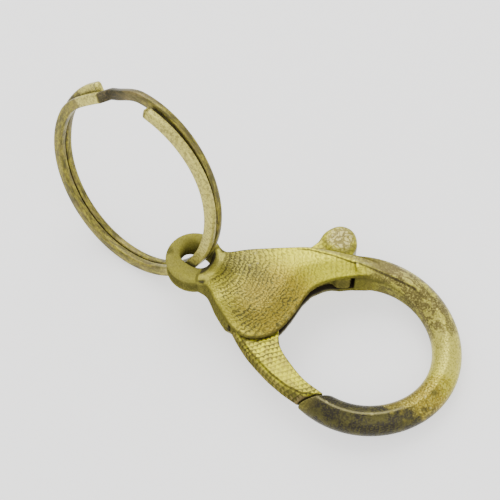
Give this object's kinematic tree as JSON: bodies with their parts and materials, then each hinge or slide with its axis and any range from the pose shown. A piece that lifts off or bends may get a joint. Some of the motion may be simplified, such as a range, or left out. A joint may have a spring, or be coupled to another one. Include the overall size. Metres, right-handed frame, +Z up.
{
  "type": "keyring snap clasp",
  "caption": "Lobster-claw snap clasp with a sprung thumb gate, and a split ring through its tail eye, in a glossy scaled camouflage print.",
  "frame": {"origin": "middle of the bounding box on the surface the keyring rests on", "axes": "+X along the clasp from its tail eye to the far end of its hook, +Y towards the thumb knob's side, +Z up"},
  "size_m": [0.0894, 0.0382, 0.0388],
  "materials": {
    "printed_body": "glossy film print of olive and gold scales over zinc",
    "printed_lever": "glossy film print of olive and gold scales over zinc",
    "printed_ring": "satin film print of beige and olive over steel wire",
    "pin_steel": "turned, flush end",
    "spring_steel": "drawn spring wire"
  },
  "bodies": {
    "clasp": {"cast_body": "printed_body", "pivot_pin": "pin_steel", "gate_spring": "spring_steel"},
    "gate": {"gate_lever": "printed_lever"},
    "ring": {"split_ring": "printed_ring"}
  },
  "joints": [
    {"name": "gate_hinge", "type": "hinge", "parent": "clasp", "child": "gate", "pos_m": [0.007, -0.00331, 0.00718], "axis": [0.125, 0, 0.9922], "range_deg": [0, 25], "stiffness_Nm_per_rad": 0.08, "springref_deg": -28.65},
    {"name": "ring_swing", "type": "hinge", "parent": "clasp", "child": "ring", "pos_m": [-0.01373, -0.0002, 0.00979], "axis": [-0.124, -0.9391, 0.3204], "range_deg": [-7, 60]}
  ]
}
